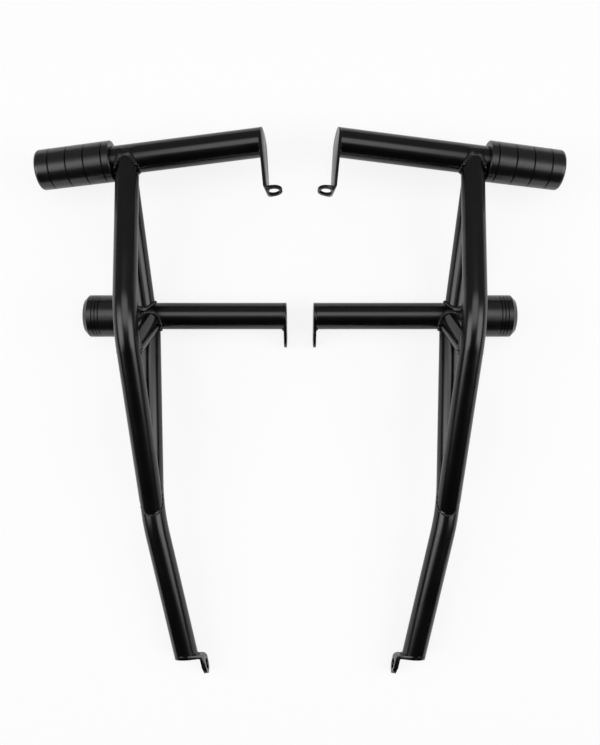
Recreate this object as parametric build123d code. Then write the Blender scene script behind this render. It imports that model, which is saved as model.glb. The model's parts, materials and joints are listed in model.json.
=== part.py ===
"""Motorcycle crash bars: a left and a right half of welded steel tube, lying on their backs.

Units are millimetres. +Z is up from the floor, +X is the right half's outer side, and +Y runs
from the lower tabs to the top tubes. The left half is modelled and the right half is its mirror.
The origin is the middle of the pair's box, on the floor.
"""
from build123d import *
import os
from math import atan2, cos, degrees, radians, sin, tan

os.makedirs("parts", exist_ok=True)

# Tubes: outside diameters, walls and bends; a coped tube is a step slimmer than the tube it meets
TOP_OD = 30.0
MID_OD = 28.0
REAR_OD = 25.0
MAIN_OD = 24.0
COPE_STEP = 2.0
STRUT_OD = MAIN_OD - COPE_STEP
BRACE_OD = MAIN_OD - COPE_STEP
WALL = 2.0
REAR_WALL = 2.5
MAIN_BEND_R = 95.0
REAR_BEND_R = 180.0

# Places on the centrelines: aside from the pair's middle, along the bars and up from the floor
TOP_OUT_ASIDE = 191.8
TOP_OUT_ALONG = 217.6
TOP_OUT_UP = 49.1
TOP_IN_ASIDE = 39.5
TOP_IN_ALONG = 234.1
TOP_IN_UP = 59.75
MID_OUT_ASIDE = 190.1
MID_OUT_ALONG = 59.9
MID_OUT_UP = 22.55
MID_IN_ASIDE = 17.2
MID_IN_ALONG = 59.7
MID_IN_UP = 25.65
MAIN_BEND_ASIDE = 169.7
MAIN_BEND_ALONG = 49.6
MAIN_BEND_UP = 102.0
MAIN_FOOT_ASIDE = 153.4
MAIN_FOOT_ALONG = -140.2
MAIN_FOOT_UP = 41.0
REAR_BEND_ASIDE = 153.8
REAR_BEND_ALONG = -142.5
REAR_BEND_UP = 41.0
REAR_END_ASIDE = 121.2
REAR_END_ALONG = -301.0
REAR_END_UP = 18.0

# Where a tube's end sits on another tube: from that tube's outer end or bend, and off its axis
MAIN_ON_TOP = 15.2
MAIN_OVER_CREST = 1.1
MAIN_ABOVE_TOP = (TOP_OD - MAIN_OD) / 2 + MAIN_OVER_CREST
MAIN_PAST_TOP = 5.0
STRUT_ON_TOP = 11.4
STRUT_BELOW_TOP = 1.5
STRUT_ON_MID = 27.0
REAR_ON_MID = 29.5
BRACE_ON_MID = 35.1
BRACE_BELOW_MID = 3.0
BRACE_ON_MAIN = 32.0
BRACE_ASIDE = 0.4
MAIN_PAST_FOOT = 6.0

# Long slider on the top tube
LONG_LENGTH = 78.0
LONG_OD_INNER = 41.8
LONG_OD_OUTER = 41.0
LONG_SLEEVE = 40.0
LONG_WEB = 12.0
LONG_ROUND = 3.5
LONG_RIM = 0.8
GROOVE_FIRST = 14.9
GROOVE_PITCH = 18.4
GROOVE_COUNT = 4
GROOVE_WIDTH = 1.6
GROOVE_DEPTH = 1.1

# Short slider on the mid tube
SHORT_LENGTH = 36.0
SHORT_OD = 44.0
SHORT_SLEEVE = 16.0
SHORT_WEB = 6.0
SHORT_CHAMFER = 4.5
SHORT_RIM = 1.0
LINE_FIRST = 9.8
LINE_PITCH = 3.35
LINE_COUNT = 3
LINE_WIDTH = 1.1
LINE_DEPTH = 0.7

# Slider fastenings
SLEEVE_FIT = 0.1
BOLT_D = 10.0
BOLT_HOLE_D = 10.6
HEAD_D = 16.0
HEAD_L = 10.0
KEY_AF = 8.0
KEY_DEPTH = 5.0
WASHER_D = 22.0
WASHER_T = 2.0
POCKET_D = 24.0
PLUG_L = 12.0
BOLT_PAST_PLUG = 3.0

# Tabs, cut and folded from plate
PLATE = 3.0
LOWER_PLATE = 4.0
FOLD_IN = 1.5
TAB_HOLE_D = 11.0
UPPER_HOLE_D = 12.0
UPPER_TURN = 17.0
UPPER_TILT = 4.4
UPPER_DROP = 58.5
UPPER_PARALLEL = 16.0
UPPER_LUG_R = 8.75
MID_LOBE_R = 11.0
MID_LOBE_BACK = 21.9
LOWER_SKEW = 9.0
LOWER_TILT = 18.0
LOWER_REACH = 18.4
LOWER_LUG_R = 10.0
LOWER_LUG_L = 16.6

# Weld beads, this far out from both pieces of a joint; the slim one is at the shallow lower joint
BEAD = 1.8
SLIM_BEAD = 1.1
BEAD_TOE = 0.4
TAB_BEAD_SPREAD = 50.0

# Room that cutting shapes take past what they cut
PAST = 1.0
WIDE = 2 * TOP_OD

UP = Vector(0, 0, 1)
ACROSS = Vector(1, 0, 0)
ALONG = Vector(0, 1, 0)


def place(aside, along, up):
    """Point of the left half."""
    return Vector(-aside, along, up)


def unit(a, b):
    return (b - a).normalized()


def square_to(direction, axis):
    """The part of a direction that is square to an axis, with length 1."""
    return (direction - axis * direction.dot(axis)).normalized()


def lean(direction, towards, angle):
    """A direction turned by an angle towards another that is square to it."""
    return (direction * cos(radians(angle)) + towards * sin(radians(angle))).normalized()


def rod(a, b, d):
    """Solid round bar from a to b."""
    at = Plane(origin=a, z_dir=b - a)
    return extrude(at * Circle(d / 2), amount=(b - a).length)


def bent_rod(a, corner, b, radius, d):
    """Solid round bar along two straight runs with one arc between them."""
    back = unit(corner, a)
    ahead = unit(corner, b)
    inward = (back + ahead).normalized()
    reach = radius / tan(radians(back.get_angle(ahead) / 2))
    start = corner + back * reach
    end = corner + ahead * reach
    middle = corner + inward * ((reach ** 2 + radius ** 2) ** 0.5 - radius)
    arc = Edge.make_three_point_arc(start, middle, end)
    path = Wire([Edge.make_line(a, start), arc, Edge.make_line(end, b)])
    return sweep(Plane(origin=a, z_dir=corner - a) * Circle(d / 2), path=path)


def biggest(shape):
    return max(shape.solids(), key=lambda s: s.volume)


def prism(plane, sketch, z0, z1):
    """Sketch on a plane, extruded from z0 to z1 along the plane's normal."""
    return plane * Pos(0, 0, z0) * extrude(sketch, amount=z1 - z0)


def round_bar(plane, z0, z1, d):
    return prism(plane, Circle(d / 2), z0, z1)


def box_sketch(x0, x1, y0, y1):
    return Pos((x0 + x1) / 2, (y0 + y1) / 2) * Rectangle(x1 - x0, y1 - y0)


# Ends and directions of the straight tubes
TOP_OUT = place(TOP_OUT_ASIDE, TOP_OUT_ALONG, TOP_OUT_UP)
TOP_IN = place(TOP_IN_ASIDE, TOP_IN_ALONG, TOP_IN_UP)
TOP_DIR = unit(TOP_OUT, TOP_IN)
TOP_TUBE_END = TOP_OUT - TOP_DIR * LONG_SLEEVE
LONG_END = TOP_OUT - TOP_DIR * LONG_LENGTH
MID_OUT = place(MID_OUT_ASIDE, MID_OUT_ALONG, MID_OUT_UP)
MID_IN = place(MID_IN_ASIDE, MID_IN_ALONG, MID_IN_UP)
MID_DIR = unit(MID_OUT, MID_IN)
MID_TUBE_END = MID_OUT - MID_DIR * SHORT_SLEEVE
SHORT_END = MID_OUT - MID_DIR * SHORT_LENGTH

# Ends and bends of the tubes that are coped to them
MAIN_SEAT = TOP_OUT + TOP_DIR * MAIN_ON_TOP + UP * MAIN_ABOVE_TOP
MAIN_BEND = place(MAIN_BEND_ASIDE, MAIN_BEND_ALONG, MAIN_BEND_UP)
MAIN_FOOT = place(MAIN_FOOT_ASIDE, MAIN_FOOT_ALONG, MAIN_FOOT_UP)
MAIN_HEAD = MAIN_SEAT + unit(MAIN_BEND, MAIN_SEAT) * MAIN_PAST_TOP
MAIN_DIR = unit(MAIN_BEND, MAIN_FOOT)
MAIN_END = MAIN_FOOT + MAIN_DIR * MAIN_PAST_FOOT
REAR_HEAD = MID_OUT + MID_DIR * REAR_ON_MID
REAR_BEND = place(REAR_BEND_ASIDE, REAR_BEND_ALONG, REAR_BEND_UP)
REAR_END = place(REAR_END_ASIDE, REAR_END_ALONG, REAR_END_UP)
REAR_DIR = unit(REAR_BEND, REAR_END)
STRUT_HEAD = TOP_OUT + TOP_DIR * STRUT_ON_TOP - UP * STRUT_BELOW_TOP
STRUT_FOOT = MID_OUT + MID_DIR * STRUT_ON_MID
BRACE_FOOT = MID_OUT + MID_DIR * BRACE_ON_MID - UP * BRACE_BELOW_MID
BRACE_HEAD = MAIN_BEND + MAIN_DIR * BRACE_ON_MAIN - ACROSS * BRACE_ASIDE

# Planes of the two tabs that are set askew on their tubes' ends
drop = square_to(lean(-ALONG, UP, UPPER_TURN), TOP_DIR)
UPPER_DIR = lean(TOP_DIR, drop.cross(TOP_DIR), UPPER_TILT)
low_x = square_to(ACROSS, REAR_DIR)
low_run = lean(low_x, REAR_DIR, LOWER_SKEW)
low_rise = lean(REAR_DIR.cross(low_x), -REAR_DIR, LOWER_TILT)
LOWER_DIR = low_run.cross(low_rise).normalized()
upper_front = Plane(origin=TOP_IN, x_dir=drop, z_dir=UPPER_DIR)
lower_seat = Plane(origin=REAR_END, x_dir=square_to(low_x, LOWER_DIR), z_dir=LOWER_DIR)


def top_rod(d):
    long = rod(TOP_TUBE_END, TOP_IN + TOP_DIR * TOP_OD, d)
    return split(long, bisect_by=upper_front, keep=Keep.BOTTOM)


def mid_rod(d):
    return rod(MID_TUBE_END, MID_IN, d)


def main_rod(d):
    return bent_rod(MAIN_HEAD, MAIN_BEND, MAIN_END, MAIN_BEND_R, d)


def rear_rod(d):
    long = bent_rod(REAR_HEAD, REAR_BEND, REAR_END + REAR_DIR * REAR_OD, REAR_BEND_R, d)
    return split(long, bisect_by=lower_seat, keep=Keep.BOTTOM)


def strut_rod(d):
    return rod(STRUT_HEAD, STRUT_FOOT, d)


def brace_rod(d):
    return rod(BRACE_FOOT, BRACE_HEAD, d)


# Outer envelopes of the tubes, used to cope each one to its neighbours
top_env = top_rod(TOP_OD)
mid_env = mid_rod(MID_OD)
main_env = main_rod(MAIN_OD)
rear_env = rear_rod(REAR_OD)
strut_env = strut_rod(STRUT_OD)
brace_env = brace_rod(BRACE_OD)

top_tube = top_env - top_rod(TOP_OD - 2 * WALL)
mid_tube = mid_env - mid_rod(MID_OD - 2 * WALL)
rear_tube = biggest(rear_env - rear_rod(REAR_OD - 2 * REAR_WALL) - mid_env)
main_tube = biggest(main_env - main_rod(MAIN_OD - 2 * WALL) - top_env - rear_env)
upper_strut = biggest(strut_env - strut_rod(STRUT_OD - 2 * WALL) - top_env - main_env - mid_env)
brace = biggest(brace_env - brace_rod(BRACE_OD - 2 * WALL) - mid_env - main_env - rear_env)


def bead(near_a, near_b, *clear_of):
    """Weld bead: what lies within a bead's width of two tubes, outside them and their neighbours."""
    ring = near_a & near_b
    for other in clear_of:
        ring -= other
    return biggest(ring)


top_near = top_rod(TOP_OD + 2 * BEAD)
mid_near = mid_rod(MID_OD + 2 * BEAD)
main_near = main_rod(MAIN_OD + 2 * BEAD)
rear_near = rear_rod(REAR_OD + 2 * BEAD)
strut_near = strut_rod(STRUT_OD + 2 * BEAD)
brace_near = brace_rod(BRACE_OD + 2 * BEAD)
main_slim = main_rod(MAIN_OD + 2 * SLIM_BEAD)
rear_slim = rear_rod(REAR_OD + 2 * SLIM_BEAD)
weld_top_main = bead(top_near, main_near, top_env, main_env, strut_env)
weld_mid_rear = bead(mid_near, rear_near, mid_env, rear_env, brace_env, strut_env)
weld_mid_strut = bead(mid_near, strut_near, mid_env, strut_env, brace_env, rear_env, weld_mid_rear)
brace_others = [rear_env, strut_env, weld_mid_rear, weld_mid_strut]
weld_mid_brace = bead(mid_near, brace_near, mid_env, brace_env, *brace_others)
weld_main_brace = bead(main_near, brace_near, main_env, brace_env)
weld_main_rear = bead(main_slim, rear_slim, main_env, rear_env)


def rounded(face, corner, radius):
    """Face with the corner at an (x, y) point rounded."""
    at = [v for v in face.vertices() if (Vector(v.X, v.Y) - Vector(*corner)).length < 1e-6]
    return fillet(at, radius)


def grooves(first, pitch, count, width, depth, radius_at):
    """Outline points (radius, along) of a row of V grooves, from the outer end inwards."""
    points = []
    for i in range(count):
        z = first + i * pitch
        r = radius_at(z)
        points += [(r, z - width / 2), (r - depth, z), (r, z + width / 2)]
    return points


def slider_core(length, sleeve, web, tube_od):
    """Inside of a slider from the inner end to the outer: sleeve, bolt hole and head pocket."""
    seat = length - sleeve
    pocket = seat - web
    bore = tube_od / 2 + SLEEVE_FIT
    hole = BOLT_HOLE_D / 2
    return [(bore, length), (bore, seat), (hole, seat), (hole, pocket), (POCKET_D / 2, pocket), (POCKET_D / 2, 0)]


def long_radius(z):
    return (LONG_OD_OUTER + (LONG_OD_INNER - LONG_OD_OUTER) * z / LONG_LENGTH) / 2


def short_radius(z):
    return SHORT_OD / 2


def turned(face, plane):
    """Slider turned about the plane's normal."""
    return plane * revolve(Plane.XZ * face, axis=Axis.Z)


def bolt_set(plane, pocket, seat, tube_od):
    """Socket-head bolt, washer and threaded tube plug on a slider's axis."""
    washer = round_bar(plane, pocket - WASHER_T, pocket, WASHER_D)
    washer -= round_bar(plane, pocket - WASHER_T, pocket, BOLT_HOLE_D)
    head = pocket - WASHER_T - HEAD_L
    bolt = round_bar(plane, head, head + HEAD_L, HEAD_D)
    bolt -= prism(plane, RegularPolygon(KEY_AF / 2, 6, major_radius=False), head, head + KEY_DEPTH)
    bolt += round_bar(plane, head + HEAD_L, seat + PLUG_L + BOLT_PAST_PLUG, BOLT_D)
    plug = round_bar(plane, seat, seat + PLUG_L, tube_od - 2 * WALL)
    plug -= round_bar(plane, seat, seat + PLUG_L, BOLT_D)
    return bolt, washer, plug


# Long slider: slightly tapered, its outer edge rounded, with a row of V grooves
long_plane = Plane(origin=LONG_END, z_dir=TOP_DIR)
long_edge = (long_radius(0), 0)
long_outline = [long_edge]
long_outline += grooves(GROOVE_FIRST, GROOVE_PITCH, GROOVE_COUNT, GROOVE_WIDTH, GROOVE_DEPTH, long_radius)
long_outline += [(long_radius(LONG_LENGTH), LONG_LENGTH - LONG_RIM)]
long_outline += [(long_radius(LONG_LENGTH) - LONG_RIM, LONG_LENGTH)]
long_outline += slider_core(LONG_LENGTH, LONG_SLEEVE, LONG_WEB, TOP_OD)
long_face = rounded(make_face(Polyline(*long_outline, close=True)), long_edge, LONG_ROUND)
long_slider = turned(long_face, long_plane)
long_seat = LONG_LENGTH - LONG_SLEEVE
long_bolt, long_washer, top_plug = bolt_set(long_plane, long_seat - LONG_WEB, long_seat, TOP_OD)

# Short slider: straight, its outer edge chamfered, with a row of fine lines
short_plane = Plane(origin=SHORT_END, z_dir=MID_DIR)
short_outline = [(SHORT_OD / 2 - SHORT_CHAMFER, 0), (SHORT_OD / 2, SHORT_CHAMFER)]
short_outline += grooves(LINE_FIRST, LINE_PITCH, LINE_COUNT, LINE_WIDTH, LINE_DEPTH, short_radius)
short_outline += [(SHORT_OD / 2, SHORT_LENGTH - SHORT_RIM), (SHORT_OD / 2 - SHORT_RIM, SHORT_LENGTH)]
short_outline += slider_core(SHORT_LENGTH, SHORT_SLEEVE, SHORT_WEB, MID_OD)
short_slider = turned(make_face(Polyline(*short_outline, close=True)), short_plane)
short_seat = SHORT_LENGTH - SHORT_SLEEVE
short_bolt, short_washer, mid_plug = bolt_set(short_plane, short_seat - SHORT_WEB, short_seat, MID_OD)

# The strut's upper bead stops at the long slider and at the main tube's bead
strut_others = [main_env, weld_top_main, long_slider]
weld_top_strut = bead(top_near, strut_near, top_env, strut_env, *strut_others)


def folded(plane, points, inner, outer, along, plate):
    """Folded plate: side view in the plane, with the fold's two corners rounded, and drawn out along a direction."""
    face = make_face(Polyline(*points, close=True))
    face = rounded(face, inner, FOLD_IN)
    face = rounded(face, outer, FOLD_IN + plate)
    return extrude(plane * face, amount=WIDE, dir=along, both=True)


def tab_bead(plane, turn, tube_od, tube_env):
    """Weld bead in the corner between a tube's end and a plate, on the side where the plate is wider."""
    centred = (Align.CENTER, Align.CENTER, Align.MIN)
    ring = plane * Rot(180, 0, 0) * Cone(tube_od / 2 + BEAD, tube_od / 2 + BEAD_TOE, BEAD, align=centred)
    start = tube_od / 2 * cos(radians(TAB_BEAD_SPREAD))
    side = plane * Rot(0, 0, turn) * Pos(start + WIDE / 2, 0, 0) * Box(WIDE, WIDE, WIDE)
    return biggest((ring - tube_env) & side)


# Upper tab: a tapered plate on the top tube's inner end, folded inwards into a lug with a hole
upper_side = Plane(origin=TOP_IN, x_dir=UPPER_DIR, z_dir=UPPER_DIR.cross(drop))
upper_plan = Plane(origin=TOP_IN, x_dir=UPPER_DIR, z_dir=drop)
upper_out = UPPER_LUG_R * 2
upper_inner = (PLATE, UPPER_DROP - PLATE)
upper_outer = (0, UPPER_DROP)
upper_points = [(0, -TOP_OD / 2), (PLATE, -TOP_OD / 2), upper_inner, (upper_out, UPPER_DROP - PLATE),
                (upper_out, UPPER_DROP), upper_outer]
upper_foot = box_sketch(UPPER_DROP - UPPER_PARALLEL, UPPER_DROP + PAST, -UPPER_LUG_R, UPPER_LUG_R)
upper_outline = make_hull(Circle(TOP_OD / 2).edges() + upper_foot.edges())
upper_end = box_sketch(-PAST, UPPER_LUG_R, -TOP_OD, TOP_OD) + Pos(UPPER_LUG_R, 0) * Circle(UPPER_LUG_R)
upper_hole = Pos(UPPER_LUG_R, 0) * Circle(UPPER_HOLE_D / 2)
upper_tab = folded(upper_side, upper_points, upper_inner, upper_outer, upper_side.z_dir, PLATE)
upper_tab &= prism(upper_front, upper_outline, -PAST, upper_out + PAST)
upper_tab &= prism(upper_plan, upper_end, -TOP_OD, UPPER_DROP + PAST)
upper_tab -= prism(upper_plan, upper_hole, UPPER_DROP - PLATE - PAST, UPPER_DROP + PAST)
weld_upper_tab = tab_bead(upper_front, 0, TOP_OD, top_env)

# Mid tab: a flat teardrop plate on the mid tube's inner end, its lobe down on the floor
mid_front = Plane(origin=MID_IN, x_dir=square_to(ALONG, MID_DIR), z_dir=MID_DIR)
lobe_up = (MID_LOBE_R - MID_IN.Z) / mid_front.y_dir.Z
lobe = Pos(-MID_LOBE_BACK, lobe_up)
mid_outline = make_hull(Circle(MID_OD / 2).edges() + (lobe * Circle(MID_LOBE_R)).edges())
mid_tab = prism(mid_front, mid_outline - lobe * Circle(TAB_HOLE_D / 2), 0, PLATE)
weld_mid_tab = tab_bead(mid_front, degrees(atan2(lobe_up, -MID_LOBE_BACK)), MID_OD, mid_env)

# Lower tab: a plate set askew on the rear tube's end, folded to a lug along the tube, with a hole;
# the lug reaches down to the floor
low_front = Plane(origin=REAR_END, x_dir=low_x, z_dir=REAR_DIR)
low_side = Plane(origin=REAR_END, x_dir=low_x, z_dir=low_x.cross(REAR_DIR))
low_plan = Plane(origin=REAR_END, x_dir=REAR_DIR, z_dir=low_x)
low_lug = LOWER_REACH - LOWER_PLATE
low_out = LOWER_LUG_L + LOWER_LUG_R
lug_middle = REAR_END + REAR_DIR * LOWER_LUG_L + low_x * low_lug
lug_drop = lug_middle.Z - LOWER_LUG_R * (REAR_DIR.Z ** 2 + low_front.y_dir.Z ** 2) ** 0.5
low_y = -lug_drop / low_front.y_dir.Z
plan_y = -lug_drop / low_plan.y_dir.Z
low_slope = tan(radians(LOWER_SKEW))
low_thick = LOWER_PLATE / cos(radians(LOWER_SKEW)) / cos(radians(LOWER_TILT))
low_left = -REAR_OD / 2
low_inner = (low_lug, low_lug * low_slope + low_thick)
low_outer = (LOWER_REACH, LOWER_REACH * low_slope)
low_points = [(low_left, low_left * low_slope), low_outer, (LOWER_REACH, low_out), (low_lug, low_out),
              low_inner, (low_left, low_left * low_slope + low_thick)]
low_edge = box_sketch(low_lug, LOWER_REACH + PAST, low_y - LOWER_LUG_R, low_y + LOWER_LUG_R)
low_outline = make_hull(Circle(REAR_OD / 2).edges() + low_edge.edges())
low_end = box_sketch(-REAR_OD, LOWER_LUG_L, -WIDE, WIDE) + Pos(LOWER_LUG_L, plan_y) * Circle(LOWER_LUG_R)
low_hole = Pos(LOWER_LUG_L, plan_y) * Circle(TAB_HOLE_D / 2)
lower_tab = folded(low_side, low_points, low_inner, low_outer, low_rise, LOWER_PLATE)
lower_tab &= prism(low_front, low_outline, -REAR_OD, low_out + PAST)
lower_tab &= prism(low_plan, low_end, -REAR_OD, LOWER_REACH + PAST)
lower_tab -= prism(low_plan, low_hole, low_lug - PAST, LOWER_REACH + PAST)
weld_lower_tab = tab_bead(lower_seat, degrees(atan2(low_y, LOWER_REACH)), REAR_OD, rear_env)

# Mounting holes of the left half: middle and direction of each bore
UPPER_HOLE = (upper_plan.from_local_coords(Vector(UPPER_LUG_R, 0, UPPER_DROP - PLATE / 2)), drop)
MID_HOLE = (mid_front.from_local_coords(Vector(-MID_LOBE_BACK, lobe_up, PLATE / 2)), MID_DIR)
LOWER_HOLE = (low_plan.from_local_coords(Vector(LOWER_LUG_L, plan_y, LOWER_REACH - LOWER_PLATE / 2)), low_x)

NODES = {
    "top_tube": top_tube,
    "mid_tube": mid_tube,
    "main_tube": main_tube,
    "rear_tube": rear_tube,
    "upper_strut": upper_strut,
    "brace": brace,
    "upper_tab": upper_tab,
    "mid_tab": mid_tab,
    "lower_tab": lower_tab,
    "long_slider": long_slider,
    "short_slider": short_slider,
    "long_bolt": long_bolt,
    "short_bolt": short_bolt,
    "long_washer": long_washer,
    "short_washer": short_washer,
    "top_plug": top_plug,
    "mid_plug": mid_plug,
    "weld_top_main": weld_top_main,
    "weld_top_strut": weld_top_strut,
    "weld_mid_strut": weld_mid_strut,
    "weld_mid_rear": weld_mid_rear,
    "weld_mid_brace": weld_mid_brace,
    "weld_main_brace": weld_main_brace,
    "weld_main_rear": weld_main_rear,
    "weld_upper_tab": weld_upper_tab,
    "weld_mid_tab": weld_mid_tab,
    "weld_lower_tab": weld_lower_tab,
}

# The right half mirrors the left; then the whole moves to the middle of its box, on the floor
box = Compound([biggest(s) for s in NODES.values()]).bounding_box()
HOME = Vector(0, -(box.min.Y + box.max.Y) / 2, -box.min.Z)
for name, shape in NODES.items():
    left = biggest(shape)
    right = mirror(left, about=Plane.YZ)
    export_step(Pos(HOME) * left, f"parts/left_{name}.step")
    export_step(Pos(HOME) * right, f"parts/right_{name}.step")
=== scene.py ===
# %% [markdown]
# # Motorcycle crash bars
# Two mirrored bars of welded black tube lie on a pale floor, seen from straight above.
# The solids come from the CAD model as a fixed frame. Here they get their finishes, a rounded lower
# joint, rippled weld beads and the broken edges of cut plate. Everything is in metres, in the
# frame's own axes.

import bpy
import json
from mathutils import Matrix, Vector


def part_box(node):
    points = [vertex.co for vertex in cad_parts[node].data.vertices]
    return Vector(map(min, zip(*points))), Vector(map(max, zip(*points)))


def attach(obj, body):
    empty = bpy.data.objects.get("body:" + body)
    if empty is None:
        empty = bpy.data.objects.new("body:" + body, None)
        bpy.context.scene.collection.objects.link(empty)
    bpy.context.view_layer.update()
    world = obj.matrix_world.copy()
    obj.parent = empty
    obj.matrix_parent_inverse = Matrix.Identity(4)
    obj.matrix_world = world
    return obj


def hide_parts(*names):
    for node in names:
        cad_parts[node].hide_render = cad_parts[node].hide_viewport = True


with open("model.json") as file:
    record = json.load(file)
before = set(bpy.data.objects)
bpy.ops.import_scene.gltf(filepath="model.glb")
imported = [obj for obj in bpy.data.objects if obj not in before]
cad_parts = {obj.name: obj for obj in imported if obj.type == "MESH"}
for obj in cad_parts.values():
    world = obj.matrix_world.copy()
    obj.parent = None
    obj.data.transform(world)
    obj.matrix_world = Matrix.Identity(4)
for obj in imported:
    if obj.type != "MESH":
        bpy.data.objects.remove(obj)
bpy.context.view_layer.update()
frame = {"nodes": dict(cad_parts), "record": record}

import json
import math

import bmesh
import bpy
import numpy as np
from mathutils import Matrix, Vector, noise
from mathutils.bvhtree import BVHTree

MM = 0.001
nodes = frame["nodes"]

# %% [markdown]
# ## Camera
# The photograph looks straight down on the pair, so the camera hangs over it and isn't turned.
# A lens is usually chosen by angle, but here it is known from the perspective: the ratio of
# focal length to image height fixes it for any sensor size.

# %% Camera over the pair
IMAGE_HEIGHT = 745
FOCAL_PIXELS = 850
CAMERA_HEIGHT = 924 * MM
CAMERA_ALONG = 36.91 * MM

eye = bpy.data.cameras.new("eye")
eye.sensor_fit = "VERTICAL"
eye.lens = eye.sensor_height * FOCAL_PIXELS / IMAGE_HEIGHT
camera = bpy.data.objects.new("camera", eye)
camera.location = (0, CAMERA_ALONG, CAMERA_HEIGHT)
scene = bpy.context.scene
scene.collection.objects.link(camera)
scene.camera = camera
scene.view_settings.view_transform = "Standard"
print("lens", round(eye.lens, 2), "mm on a", eye.sensor_height, "mm high sensor")

# %% [markdown]
# ## Floor
# The bars lie on seamless white paper. A diffuse white alone goes grey towards the edges of the
# light, so most of the paper's brightness is its own glow for the eye, and the rest is lit, which
# keeps the faint shadows. Reflections in the tubes see the lit paper alone.

# %% White paper
WHITE = (1, 1, 1, 1)
PAPER_COLOR = (0.97, 0.97, 0.97, 1)
FLOOR_GLOW = 0.84

def node_material(name):
    """New material whose tree holds an output alone; returns (material, tree, output)."""
    material = bpy.data.materials.new(name)
    material.use_nodes = True
    tree = material.node_tree
    tree.nodes.clear()
    output = tree.nodes.new("ShaderNodeOutputMaterial")
    return material, tree, output

def calculate(tree, operation, *values):
    """Math node on sockets or plain numbers; returns its output socket."""
    step = tree.nodes.new("ShaderNodeMath")
    step.operation = operation
    for socket, value in zip(step.inputs, values):
        if isinstance(value, bpy.types.NodeSocket):
            tree.links.new(value, socket)
        else:
            socket.default_value = value
    return step.outputs[0]

paper, tree, output = node_material("paper")
lit = tree.nodes.new("ShaderNodeBsdfDiffuse")
lit.inputs["Color"].default_value = PAPER_COLOR
glow = tree.nodes.new("ShaderNodeEmission")
glow.inputs["Color"].default_value = WHITE
path = tree.nodes.new("ShaderNodeLightPath")
looked_at = calculate(tree, "MAXIMUM", path.outputs["Is Camera Ray"], path.outputs["Is Transmission Ray"])
blend = tree.nodes.new("ShaderNodeMixShader")
tree.links.new(calculate(tree, "MULTIPLY", looked_at, FLOOR_GLOW), blend.inputs["Fac"])
tree.links.new(lit.outputs[0], blend.inputs[1])
tree.links.new(glow.outputs[0], blend.inputs[2])
tree.links.new(blend.outputs[0], output.inputs["Surface"])
print("paper glows", FLOOR_GLOW, "of its brightness for the eye")

# %% Floor
FLOOR_HALF = 6.0

bm = bmesh.new()
bmesh.ops.create_grid(bm, x_segments=1, y_segments=1, size=FLOOR_HALF)
floor_mesh = bpy.data.meshes.new("floor")
bm.to_mesh(floor_mesh)
bm.free()
floor = bpy.data.objects.new("floor", floor_mesh)
floor_mesh.materials.append(paper)
scene.collection.objects.link(floor)
print("floor", 2 * FLOOR_HALF, "m square")

# %% [markdown]
# ## Light
# Round tube shows its light as long soft bands. One soft box hangs overhead towards the top of the
# picture and lights the tubes that run across it. Two more stand at the sides and light the tubes
# that run down it. Lamps are often set by power, but here each box is given the brightness that
# its face shows, because that is what a glossy black tube mirrors. The cloth of a soft box is
# brightest in its middle, so the light fades towards the rim.

# %% Soft boxes
OVERHEAD_PLACE = (0, 0.37, 1.30)
OVERHEAD_SIZE = (1.7, 1.1)
OVERHEAD_RADIANCE = 2.2
SIDE_PLACE = (1.60, -0.17, 1.45)
SIDE_SIZE = (1.8, 2.3)
SIDE_RADIANCE = 3.4
FACE_MIDDLE = 0.5
FADE = 0.3
SIDES = {"left": -1, "right": 1}

def mapped(tree, value, source, target, interpolation="LINEAR"):
    """Map Range node from one span of numbers to another; returns its output socket."""
    ramp = tree.nodes.new("ShaderNodeMapRange")
    ramp.interpolation_type = interpolation
    for i, word in enumerate(("Min", "Max")):
        ramp.inputs["From " + word].default_value = source[i]
        ramp.inputs["To " + word].default_value = target[i]
    tree.links.new(value, ramp.inputs["Value"])
    return ramp.outputs["Result"]

def soft_box(name, place, size, radiance):
    """Rectangular area light, brightest in its middle, facing the middle of the floor."""
    lamp = bpy.data.lights.new(name, "AREA")
    lamp.shape = "RECTANGLE"
    lamp.size, lamp.size_y = size
    lamp.energy = radiance * math.pi * size[0] * size[1]
    lamp.use_nodes = True
    tree = lamp.node_tree
    spot = tree.nodes.new("ShaderNodeNewGeometry")
    axes = tree.nodes.new("ShaderNodeSeparateXYZ")
    tree.links.new(spot.outputs["Parametric"], axes.inputs[0])
    fades = []
    for axis in ("X", "Y"):
        inward = calculate(tree, "PINGPONG", axes.outputs[axis], FACE_MIDDLE)
        fades.append(mapped(tree, inward, (0, FADE), (0, 1), "SMOOTHSTEP"))
    strength = tree.nodes["Emission"].inputs["Strength"]
    tree.links.new(calculate(tree, "MULTIPLY", *fades), strength)
    light = bpy.data.objects.new(name, lamp)
    light.location = place
    light.rotation_euler = (-Vector(place)).to_track_quat("-Z", "Y").to_euler()
    scene.collection.objects.link(light)
    return light

boxes = [soft_box("overhead", OVERHEAD_PLACE, OVERHEAD_SIZE, OVERHEAD_RADIANCE)]
for side, way in SIDES.items():
    place = (way * SIDE_PLACE[0], *SIDE_PLACE[1:])
    boxes.append(soft_box(side + "_box", place, SIDE_SIZE, SIDE_RADIANCE))
print("soft boxes", [box.name for box in boxes])

# %% [markdown]
# ## Room
# Between the bands of light the tubes mirror the room, which is dim towards the bottom of the
# picture and lighter towards the top. Walls could be built for that, but a world whose brightness
# follows the direction does the same with one ramp. The eye itself sees the room white.

# %% Room
ROOM_BRIGHTNESS = (0.02, 0.24)
ROOM_RAMP = (-0.8, 0.6)

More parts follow.
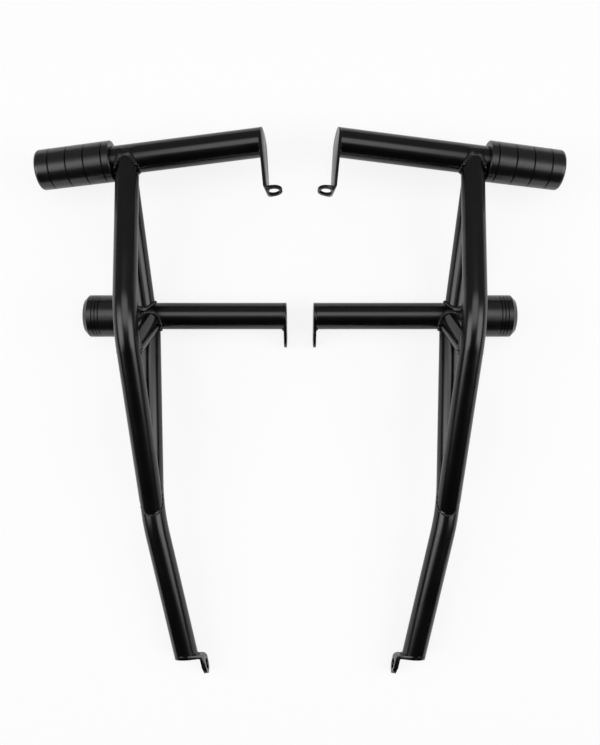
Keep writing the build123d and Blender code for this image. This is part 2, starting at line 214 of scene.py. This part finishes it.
world = bpy.data.worlds.new("room")
scene.world = world
world.use_nodes = True
sky = world.node_tree
sky.nodes.clear()
direction = sky.nodes.new("ShaderNodeTexCoord")
axes = sky.nodes.new("ShaderNodeSeparateXYZ")
sky.links.new(direction.outputs["Generated"], axes.inputs[0])
dim = mapped(sky, axes.outputs["Y"], ROOM_RAMP, ROOM_BRIGHTNESS, "SMOOTHSTEP")
sight = sky.nodes.new("ShaderNodeLightPath")
backdrop = sky.nodes.new("ShaderNodeBackground")
backdrop.inputs["Color"].default_value = WHITE
brightness = calculate(sky, "MAXIMUM", dim, sight.outputs["Is Camera Ray"])
sky.links.new(brightness, backdrop.inputs["Strength"])
world_out = sky.nodes.new("ShaderNodeOutputWorld")
sky.links.new(backdrop.outputs[0], world_out.inputs["Surface"])
print("room from", ROOM_BRIGHTNESS[0], "to", ROOM_BRIGHTNESS[1])

# %% [markdown]
# ## Finishes
# No real surface is one flat colour. On each of these pieces, tone and roughness drift a little
# from place to place, and on coat and plastic fine marks catch the light. Photographs of a surface
# could be wrapped round it, but noise on Object coordinates needs no unwrapping and runs on over
# every edge.

# %% Helpers for finishes
def finish_material(name):
    """New material with a Principled shader on its output; returns (material, tree, shader)."""
    material, tree, output = node_material(name)
    shader = tree.nodes.new("ShaderNodeBsdfPrincipled")
    tree.links.new(shader.outputs[0], output.inputs["Surface"])
    return material, tree, shader

def object_noise(tree, size, detail):
    """Noise on Object coordinates, with patches of about a size; returns its output socket."""
    place = tree.nodes.new("ShaderNodeTexCoord")
    patches = tree.nodes.new("ShaderNodeTexNoise")
    patches.inputs["Scale"].default_value = 1 / size
    patches.inputs["Detail"].default_value = detail
    tree.links.new(place.outputs["Object"], patches.inputs["Vector"])
    return patches.outputs["Fac"]

def drift_finish(tree, shader, drift, dark, pale, roughness, span=(0, 1)):
    """Lets noise drive a shader's colour from dark to pale, and its roughness over the noise's span."""
    tone = tree.nodes.new("ShaderNodeMix")
    tone.data_type = "RGBA"
    tone.inputs["A"].default_value = (*dark, 1)
    tone.inputs["B"].default_value = (*pale, 1)
    tree.links.new(drift, tone.inputs["Factor"])
    tree.links.new(tone.outputs["Result"], shader.inputs["Base Color"])
    tree.links.new(mapped(tree, drift, span, roughness), shader.inputs["Roughness"])

def raise_marks(tree, shader, height, strength, depth):
    """Bump of a depth in metres from a height socket."""
    bump = tree.nodes.new("ShaderNodeBump")
    bump.inputs["Strength"].default_value = strength
    bump.inputs["Distance"].default_value = depth
    tree.links.new(height, bump.inputs["Height"])
    tree.links.new(bump.outputs["Normal"], shader.inputs["Normal"])

def shade(color, share):
    """A colour made darker or paler by a share."""
    return [share * c for c in color]

print("materials so far", [material.name for material in bpy.data.materials])

# %% [markdown]
# ## Powder coat
# The steel is sprayed with powder and baked, which leaves a satin black skin with a fine orange
# peel. The peel could be modelled, but it is a few hundredths of a millimetre deep, so it is bump.
# The welds carry the same coat, with a little more peel.

# %% Powder coat material
COAT_COLOR = (0.0012, 0.0012, 0.0013)
COAT_DARK = 0.7
COAT_PALE = 1.4
COAT_IOR = 1.5
DRIFT_SIZE = 35 * MM
DRIFT_DETAIL = 4
DRIFT_SPAN = (0.3, 0.7)
PEEL_SIZE = 1.6 * MM
PEEL_DETAIL = 2
PEEL_DEPTH = 0.05 * MM

def coat_material(name, peel_strength, roughness):
    """Satin black coat: colour and roughness drift slowly, and fine peel is bump."""
    material, tree, coat = finish_material(name)
    coat.inputs["IOR"].default_value = COAT_IOR
    drift = object_noise(tree, DRIFT_SIZE, DRIFT_DETAIL)
    dark = shade(COAT_COLOR, COAT_DARK)
    pale = shade(COAT_COLOR, COAT_PALE)
    drift_finish(tree, coat, drift, dark, pale, roughness, DRIFT_SPAN)
    raise_marks(tree, coat, object_noise(tree, PEEL_SIZE, PEEL_DETAIL), peel_strength, PEEL_DEPTH)
    return material

black_coat = coat_material("black_coat", peel_strength=0.35, roughness=(0.15, 0.23))
weld_coat = coat_material("weld_coat", peel_strength=0.5, roughness=(0.14, 0.24))
print("coats", black_coat.name, weld_coat.name)

# %% [markdown]
# ## Turned plastic
# The sliders are turned from black polyamide, and the tool leaves fine rings round the axis. Rings
# cut in the mesh would need a loop of faces for each turn of the lathe, so they are a wave in the
# bump, which a Mapping node turns into line with each slider.

# %% Slider material
PLASTIC_COLOR = (0.0020, 0.0020, 0.0021)
PLASTIC_DARK = 0.7
PLASTIC_PALE = 1.5
PLASTIC_IOR = 1.62
PLASTIC_ROUGHNESS = (0.20, 0.30)
GRAIN_SIZE = 12 * MM
GRAIN_DETAIL = 6
RING_PITCH = 0.45 * MM
RING_WOBBLE = 0.4
RING_STRENGTH = 0.25
RING_DEPTH = 0.03 * MM
WAVE_RATE = 20  # radians that a wave of scale 1 turns in a metre

def lathe_rings(tree, axis):
    """Wave along an axis, one for each turn of the lathe; returns its output socket."""
    place = tree.nodes.new("ShaderNodeTexCoord")
    line_up = tree.nodes.new("ShaderNodeMapping")
    line_up.inputs["Rotation"].default_value = axis.rotation_difference(Vector((1, 0, 0))).to_euler()
    tree.links.new(place.outputs["Object"], line_up.inputs["Vector"])
    rings = tree.nodes.new("ShaderNodeTexWave")
    rings.bands_direction = "X"
    rings.inputs["Scale"].default_value = 2 * math.pi / (WAVE_RATE * RING_PITCH)
    rings.inputs["Distortion"].default_value = RING_WOBBLE
    tree.links.new(line_up.outputs["Vector"], rings.inputs["Vector"])
    return rings.outputs["Fac"]

def turned_plastic(name, axis):
    """Satin black plastic with fine lathe rings about an axis."""
    material, tree, plastic = finish_material(name)
    plastic.inputs["IOR"].default_value = PLASTIC_IOR
    grain = object_noise(tree, GRAIN_SIZE, GRAIN_DETAIL)
    dark = shade(PLASTIC_COLOR, PLASTIC_DARK)
    pale = shade(PLASTIC_COLOR, PLASTIC_PALE)
    drift_finish(tree, plastic, grain, dark, pale, PLASTIC_ROUGHNESS)
    raise_marks(tree, plastic, lathe_rings(tree, axis), RING_STRENGTH, RING_DEPTH)
    return material

print("lathe rings every", RING_PITCH, "m")

# %% Plastic for each slider
def middle(node):
    """Middle of a node's box."""
    low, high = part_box(node)
    return (low + high) / 2

slider_plastic = {}
for side in SIDES:
    for kind, tube in (("long", "top"), ("short", "mid")):
        slider = f"{side}_{kind}_slider"
        axis = (middle(f"{side}_{tube}_plug") - middle(f"{side}_{kind}_washer")).normalized()
        slider_plastic[slider] = turned_plastic("plastic_" + slider, axis)
print("plastics", list(slider_plastic))

# %% [markdown]
# ## Fastenings
# A bolt and a washer show only down a slider's bore, and the plug that the bolt goes into is out of
# sight in the tube. Black oxide is dark and mottled, zinc is pale and mottled, and the plug is bare
# steel. Three trees could be drawn, but the metals differ only in tones, roughness and grain, so
# one function makes them all.

# %% Metal materials
METAL_DETAIL = 5

def metal_material(name, dark, pale, roughness, grain_size):
    """Metal whose tone and roughness vary with the same noise."""
    material, tree, metal = finish_material(name)
    metal.inputs["Metallic"].default_value = 1
    drift_finish(tree, metal, object_noise(tree, grain_size, METAL_DETAIL), dark, pale, roughness)
    return material

oxide = metal_material("black_oxide", dark=(0.03, 0.03, 0.032), pale=(0.07, 0.07, 0.072),
                       roughness=(0.32, 0.5), grain_size=2 * MM)
zinc = metal_material("zinc_plate", dark=(0.48, 0.48, 0.50), pale=(0.62, 0.62, 0.63),
                      roughness=(0.28, 0.45), grain_size=3 * MM)
steel = metal_material("bare_steel", dark=(0.36, 0.36, 0.37), pale=(0.50, 0.50, 0.51),
                       roughness=(0.35, 0.5), grain_size=2 * MM)
print("metals", oxide.name, zinc.name, steel.name)

# %% [markdown]
# ## Dress the solids
# Most CAD shapes are right as they are, so they only get a material. It could be picked by name,
# but the record already gives each solid a slot. Only the sliders have a material each, because
# their rings follow their own axes.

# %% Dress the solids
FINISH = {"black_coat": black_coat, "weld_coat": weld_coat, "bolt_steel": oxide,
          "washer_steel": zinc, "plug_steel": steel}
slot_of = {part["node"]: part["material_slot"] for part in frame["record"]["subparts"]}

def finish_of(node):
    """A slider's own plastic, or the finish of the node's slot."""
    return slider_plastic[node] if node in slider_plastic else FINISH[slot_of[node]]

for name, solid in nodes.items():
    solid.data.materials.clear()
    solid.data.materials.append(finish_of(name))
print("dressed", len(nodes), "solids")

# %% [markdown]
# ## Copies of solids
# Some shapes get finer than the CAD model has them. A CAD mesh is never changed itself: a copy is,
# and the copy then takes the solid's place. The triangles of a CAD mesh are loose, so they are
# joined at their corners first.

# %% Helpers for copies
JOIN = 0.001 * MM

def merged_copy(node, name):
    """Copy of a CAD node's mesh with its loose triangles joined, as a linked object."""
    bm = bmesh.new()
    bm.from_mesh(nodes[node].data)
    bmesh.ops.remove_doubles(bm, verts=bm.verts, dist=JOIN)
    mesh = bpy.data.meshes.new(name)
    bm.to_mesh(mesh)
    bm.free()
    piece = bpy.data.objects.new(name, mesh)
    scene.collection.objects.link(piece)
    return piece

def stand_in(piece, node):
    """The piece takes a CAD node's place and the finish of its slot, and rides the root body."""
    piece.data.materials.clear()
    piece.data.materials.append(finish_of(node))
    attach(piece, "root")
    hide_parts(node)

def smooth_faces(mesh):
    """Shades every face of a mesh smooth."""
    mesh.polygons.foreach_set("use_smooth", [True] * len(mesh.polygons))

def cut_across(bm, place, normal, **keep):
    """Cuts a mesh where a plane crosses it."""
    everything = bm.verts[:] + bm.edges[:] + bm.faces[:]
    bmesh.ops.bisect_plane(bm, geom=everything, dist=JOIN, plane_co=place, plane_no=normal, **keep)

print("copies join corners within", JOIN, "m")

# %% [markdown]
# ## Lower joint
# At its lower end the main tube lies along the rear tube, and from above it ends there in a round
# tongue with a thin bead. The CAD tube ends in a flat cut. A boolean with the rear tube would open
# the hollow tube, so a copy is pressed into shape instead: the corners that the camera sees outside
# a half ellipse go just under the rear tube's skin, and what stays inside it is the tongue.

# %% Tongue's outline
TONGUE_TIP = Vector((150.3, -110.0, 51.5)) * MM
TONGUE_LENGTH = 15.4 * MM
TONGUE_HALF = 12.0 * MM
TONGUE_LEAN = math.radians(8.5)

ahead = Vector((-math.sin(TONGUE_LEAN), -math.cos(TONGUE_LEAN)))
aside = Vector((math.cos(TONGUE_LEAN), -math.sin(TONGUE_LEAN)))

def past_edge(point, side):
    """How far outside the tongue's half ellipse the camera sees a point, in metres along the tongue."""
    nearer = (CAMERA_HEIGHT - TONGUE_TIP.z) / (CAMERA_HEIGHT - point.z)
    along = CAMERA_ALONG + (point.y - CAMERA_ALONG) * nearer
    seen = Vector((SIDES[side] * point.x * nearer, along)) - TONGUE_TIP.xy
    past = seen.dot(ahead) / TONGUE_LENGTH + 1
    return 0 if past < 0 else (math.hypot(past, seen.dot(aside) / TONGUE_HALF) - 1) * TONGUE_LENGTH

def solid_tree(node):
    """Search tree over a CAD node's faces, for nearest points and rays."""
    mesh = nodes[node].data
    return BVHTree.FromPolygons([v.co for v in mesh.vertices], [p.vertices for p in mesh.polygons])

rear_tree = {side: solid_tree(side + "_rear_tube") for side in SIDES}
print("tongue", TONGUE_LENGTH, "m long")

# %% Tongued tubes
CUT_STEP = 0.8 * MM
CUT_REACH = 1.5 * TONGUE_LENGTH
EDGE_SLOPE = 1.2 * MM
UNDER = 0.4 * MM
SMOOTH_BELOW = math.radians(30)

def tongued_tube(side):
    """Copy of a main tube whose end, outside the tongue, is pressed just under the rear tube's skin."""
    node = side + "_main_tube"
    piece = merged_copy(node, node + "_tongued")
    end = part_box(node)[0].y
    bm = bmesh.new()
    bm.from_mesh(piece.data)
    for i in range(int(CUT_REACH / CUT_STEP)):
        cut_across(bm, (0, end + (i + 1) * CUT_STEP, 0), (0, 1, 0))
    for v in bm.verts:
        share = min(1, max(0, past_edge(v.co, side) / EDGE_SLOPE))
        if share:
            spot, normal, _, _ = rear_tree[side].find_nearest(v.co)
            v.co = v.co.lerp(spot - normal * UNDER, share)
    bmesh.ops.triangulate(bm, faces=bm.faces)
    bm.to_mesh(piece.data)
    bm.free()
    smooth_faces(piece.data)
    piece.data.set_sharp_from_angle(angle=SMOOTH_BELOW)
    stand_in(piece, node)
    return piece

tongued = [tongued_tube(side) for side in SIDES]
print("tongues on", [tube.name for tube in tongued])

# %% [markdown]
# ## Bead round the tongue
# The CAD bead of the lower joint follows the flat cut. Its stretch there is cut off, and a row of
# drops, as a welder would lay them, follows the tongue instead. A swept tube could do it too, but
# its path would have to lie on the rear tube's round skin. For a drop, one ray finds that skin.

# %% Drops round the tongue
DROP = 0.9 * MM
DROP_STEP = 1.2 * MM
DROP_SUBDIVISIONS = 2
DROPS = 36
ARM_DROPS = 6

def drop_row():
    """Places of the drops round the tongue and back along its two arms, as (ahead, aside) of its tip."""
    turns = [math.pi * ((i + 0.5) / DROPS - 0.5) for i in range(DROPS)]
    row = [(TONGUE_LENGTH * (math.cos(t) - 1), TONGUE_HALF * math.sin(t)) for t in turns]
    for i in range(ARM_DROPS):
        row += [(-TONGUE_LENGTH - i * DROP_STEP, way * TONGUE_HALF) for way in (-1, 1)]
    return row

def lay_drops(piece, side):
    """Cuts the tongue's stretch off a lower bead and lays drops round the tongue instead."""
    way = SIDES[side]
    tip = Vector((way * TONGUE_TIP.x, TONGUE_TIP.y, TONGUE_TIP.z))
    forward = Vector((way * ahead.x, ahead.y, 0))
    start = tip - forward * (TONGUE_LENGTH + ARM_DROPS * DROP_STEP)
    bm = bmesh.new()
    bm.from_mesh(piece.data)
    cut_across(bm, start, forward, clear_outer=True)
    bmesh.ops.holes_fill(bm, edges=bm.edges, sides=0)
    for past, across in drop_row():
        flat = TONGUE_TIP.xy + ahead * past + aside * across
        sight = Vector((way * flat.x, flat.y, TONGUE_TIP.z)) - camera.location
        spot = rear_tree[side].ray_cast(camera.location, sight.normalized())[0]
        if spot:
            place = Matrix.Translation(spot)
            bmesh.ops.create_icosphere(bm, subdivisions=DROP_SUBDIVISIONS, radius=DROP, matrix=place)
    bm.to_mesh(piece.data)
    bm.free()

print(len(drop_row()), "drops round each tongue")

# %% [markdown]
# ## Weld beads
# A welder lays a bead as a row of overlapping drops round the joint. The CAD bead is a plain ring.
# A bump could draw the ripples, but a bead's outline shows them too, so they are in the mesh. Each
# bead's copy is remeshed finely enough to carry them, rounded, swollen a little, more at the two
# fullest joints of each bar, and pushed in and out along its normals. The ripples count round the
# ring's own axis, which is the direction in which its points spread least.

# %% Fine mesh of a bead
VOXEL = 0.35 * MM
CRUMB = 200

def fine_mesh(piece):
    """Even, closed mesh over a piece, made with a Remesh modifier."""
    remesh = piece.modifiers.new("fine", "REMESH")
    remesh.mode = "VOXEL"
    remesh.voxel_size = VOXEL
    bpy.context.view_layer.update()
    shaped = piece.evaluated_get(bpy.context.evaluated_depsgraph_get())
    fine = bpy.data.meshes.new_from_object(shaped)
    piece.modifiers.clear()
    return fine

def clear_crumbs(bm):
    """Deletes the small loose islands that remeshing leaves at a bead's thin ends."""
    left = set(bm.verts)
    while left:
        island = {left.pop()}
        rim = island
        while rim:
            rim = {edge.other_vert(v) for v in rim for edge in v.link_edges} - island
            island = island | rim
        left -= island
        if len(island) < CRUMB:
            bmesh.ops.delete(bm, geom=list(island), context="VERTS")

print("beads are remeshed at", VOXEL, "m")

# %% Rippled beads
ROUNDING = 5
ROUNDING_SHARE = 0.5
RIPPLE_PITCH = 2.6 * MM
RIPPLE_HEIGHT = 0.30 * MM
FEWEST_RIPPLES = 3
LUMP_SIZE = 4.0 * MM
LUMP_HEIGHT = 0.25 * MM
SWELL = 0.10 * MM
FULL_SWELL = 0.40 * MM
FULL_BEADS = ("weld_mid_brace", "weld_top_main")

def ring_angles(points):
    """Angle of each point round the axis of the ring that they form, and its distance from the axis."""
    centred = points - points.mean(axis=0)
    axes = np.linalg.eigh(centred.T @ centred)[1]
    across, up = centred @ axes[:, 2], centred @ axes[:, 1]
    return np.arctan2(up, across), np.hypot(across, up)

def ripple(bm, swell):
    """Swells a bead and pushes it in and out in ripples and lumps, along its normals."""
    angle, radius = ring_angles(np.array([v.co for v in bm.verts]))
    count = max(FEWEST_RIPPLES, round(2 * math.pi * radius.mean() / RIPPLE_PITCH))
    for v, a in zip(bm.verts, angle):
        wave = RIPPLE_HEIGHT * math.cos(count * a)
        lump = LUMP_HEIGHT * noise.noise(v.co / LUMP_SIZE)
        v.co += v.normal * (swell + wave + lump)

def rippled_bead(node):
    """Copy of a bead's node as a welder leaves it."""
    piece = merged_copy(node, node + "_rippled")
    if node.endswith("_weld_main_rear"):
        lay_drops(piece, node.split("_")[0])
    fine = fine_mesh(piece)
    bm = bmesh.new()
    bm.from_mesh(fine)
    clear_crumbs(bm)
    for _ in range(ROUNDING):
        bmesh.ops.smooth_vert(bm, verts=bm.verts, factor=ROUNDING_SHARE,
                              use_axis_x=True, use_axis_y=True, use_axis_z=True)
    bm.normal_update()
    ripple(bm, FULL_SWELL if node.endswith(FULL_BEADS) else SWELL)
    bm.to_mesh(fine)
    bm.free()
    smooth_faces(fine)
    piece.data = fine
    stand_in(piece, node)
    return piece

beads = [rippled_bead(name) for name in sorted(nodes) if slot_of[name] == "weld_coat"]
print(len(beads), "beads,", sum(len(bead.data.polygons) for bead in beads), "faces")

# %% [markdown]
# ## Cut edges
# Laser-cut plate never has knife edges: the edge is broken by a few tenths of a millimetre, and
# under the coat it is rounder still. The bevel operator could cut it once and for all, but a Bevel
# modifier finds every sharp edge by its angle, and each tab's copy keeps the CAD shape under it.

# %% Broken edges
PLATE_EDGE = 0.5 * MM
EDGE_SEGMENTS = 2
SHARP = math.radians(25)
FLAT = math.radians(0.5)

def broken_edges(node):
    """Copy of a tab with its flat faces whole and its sharp edges rounded."""
    piece = merged_copy(node, node + "_edged")
    bm = bmesh.new()
    bm.from_mesh(piece.data)
    bmesh.ops.dissolve_limit(bm, angle_limit=FLAT, verts=bm.verts, edges=bm.edges)
    bm.to_mesh(piece.data)
    bm.free()
    smooth_faces(piece.data)
    bevel = piece.modifiers.new("broken_edge", "BEVEL")
    bevel.width = PLATE_EDGE
    bevel.segments = EDGE_SEGMENTS
    bevel.limit_method = "ANGLE"
    bevel.angle_limit = SHARP
    bevel.harden_normals = True
    stand_in(piece, node)
    return piece

tabs = [name for name in sorted(nodes) if slot_of[name] == "black_coat" and name.endswith("_tab")]
edged = [broken_edges(name) for name in tabs]
print("broken edges on", [tab.name for tab in edged])
